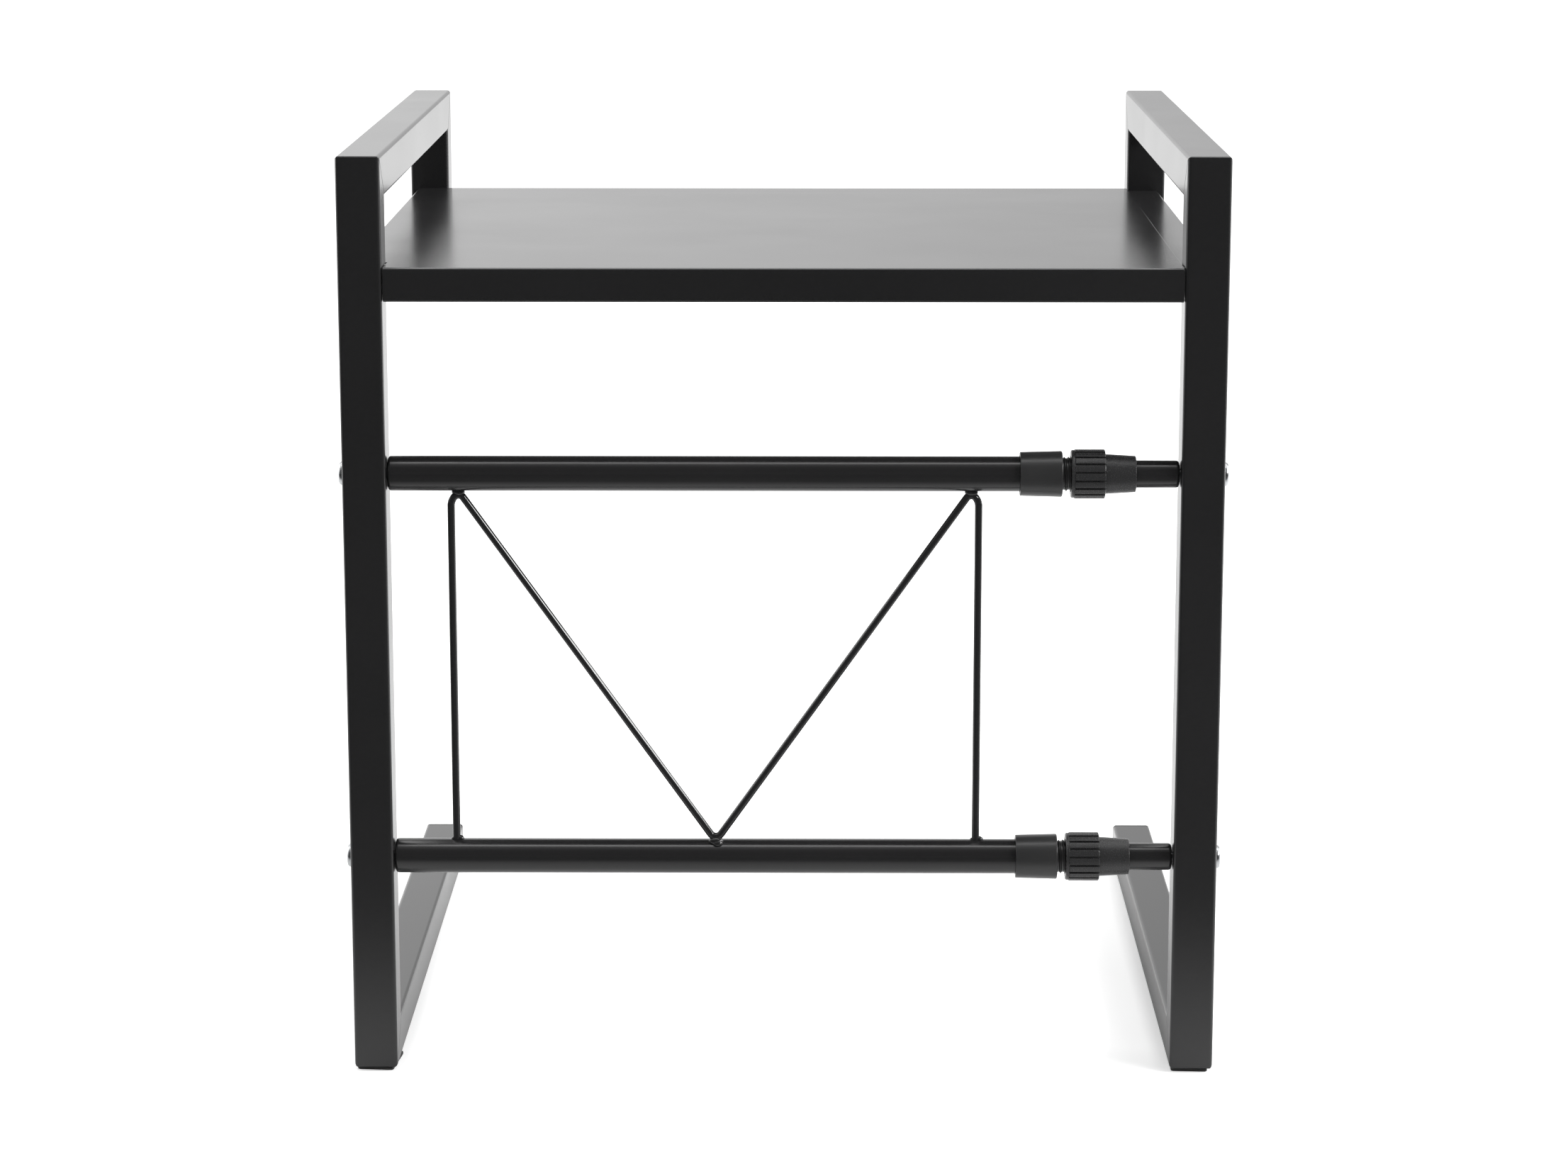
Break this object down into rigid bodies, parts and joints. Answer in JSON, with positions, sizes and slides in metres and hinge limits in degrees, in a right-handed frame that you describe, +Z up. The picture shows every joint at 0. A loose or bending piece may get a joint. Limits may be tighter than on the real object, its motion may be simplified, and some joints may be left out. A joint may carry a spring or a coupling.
{
  "type": "expandable shelf",
  "caption": "Free-standing counter shelf on C-shaped tube frames that widens on telescoping rods with twist locks and a sliding two-panel metal top.",
  "frame": {"origin": "on the ground under the middle of the shelf, pushed together", "axes": "+Z up, +X from the fixed left frame to the sliding right frame, -Y the side with legs and rods, +Y the open side"},
  "size_m": [0.4048, 0.3612, 0.4268],
  "materials": {
    "black_coat": "satin black powder coat on steel",
    "black_plastic": "satin black moulded plastic",
    "grained_plastic": "fine-grained matt black moulded plastic",
    "zinc_steel": "bright zinc-plated steel",
    "black_rubber": "matt black rubber"
  },
  "bodies": {
    "fixed_side": {"left_leg": "black_coat", "left_top_rail": "black_coat", "left_runner": "black_coat", "left_post": "black_coat", "left_shelf_bearer": "black_coat", "left_runner_cap": "black_plastic", "left_post_cap": "black_plastic", "left_near_foot_pad": "black_rubber", "left_far_foot_pad": "black_rubber", "outer_shelf_panel": "black_coat", "left_near_shelf_screw": "zinc_steel", "left_far_shelf_screw": "zinc_steel", "upper_outer_rod": "black_coat", "lower_outer_rod": "black_coat", "upper_left_rod_plug": "zinc_steel", "lower_left_rod_plug": "zinc_steel", "upper_left_rod_bolt": "zinc_steel", "lower_left_rod_bolt": "zinc_steel", "upper_lock_collar": "black_plastic", "lower_lock_collar": "black_plastic", "brace_wire": "black_coat"},
    "sliding_side": {"right_leg": "black_coat", "right_top_rail": "black_coat", "right_runner": "black_coat", "right_post": "black_coat", "right_shelf_bearer": "black_coat", "right_runner_cap": "black_plastic", "right_post_cap": "black_plastic", "right_near_foot_pad": "black_rubber", "right_far_foot_pad": "black_rubber", "inner_shelf_panel": "black_coat", "right_near_shelf_screw": "zinc_steel", "right_far_shelf_screw": "zinc_steel", "upper_inner_rod": "black_coat", "lower_inner_rod": "black_coat", "upper_right_rod_plug": "zinc_steel", "lower_right_rod_plug": "zinc_steel", "upper_right_rod_bolt": "zinc_steel", "lower_right_rod_bolt": "zinc_steel", "upper_glide_bush": "black_plastic", "lower_glide_bush": "black_plastic"},
    "upper_lock": {"upper_lock_nut": "grained_plastic"},
    "lower_lock": {"lower_lock_nut": "grained_plastic"}
  },
  "joints": [
    {"name": "width_slide", "type": "slide", "parent": "fixed_side", "child": "sliding_side", "axis": [1, 0, 0], "range_m": [0, 0.2]},
    {"name": "upper_lock_twist", "type": "hinge", "parent": "fixed_side", "child": "upper_lock", "pos_m": [0.1455, -0.17, 0.2818], "axis": [1, 0, 0], "range_deg": [0, 180]},
    {"name": "lower_lock_twist", "type": "hinge", "parent": "fixed_side", "child": "lower_lock", "pos_m": [0.1455, -0.17, 0.1018], "axis": [1, 0, 0], "range_deg": [0, 180]}
  ]
}
